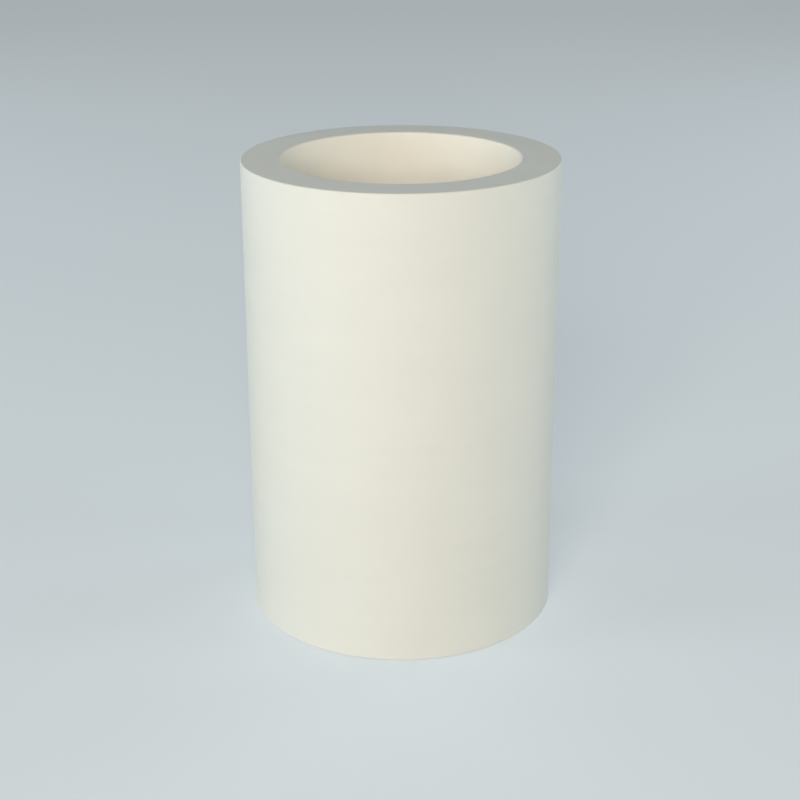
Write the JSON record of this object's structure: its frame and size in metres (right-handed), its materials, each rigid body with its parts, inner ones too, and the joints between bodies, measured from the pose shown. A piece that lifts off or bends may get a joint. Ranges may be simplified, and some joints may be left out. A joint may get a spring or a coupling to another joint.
{
  "type": "ptfe tube",
  "caption": "Short thick-walled round PTFE tube standing on its end, with a straight through bore, square ends and lightly broken edges.",
  "frame": {"origin": "centre of the lower end face, on the tube's axis", "axes": "+Z along the tube's axis, up from the end that it stands on; X and Y are any two directions across it, because the tube is round"},
  "size_m": [0.1, 0.1, 0.15],
  "materials": {
    "ptfe": "satin"
  },
  "bodies": {
    "root": {"tube": "ptfe"}
  },
  "joints": []
}
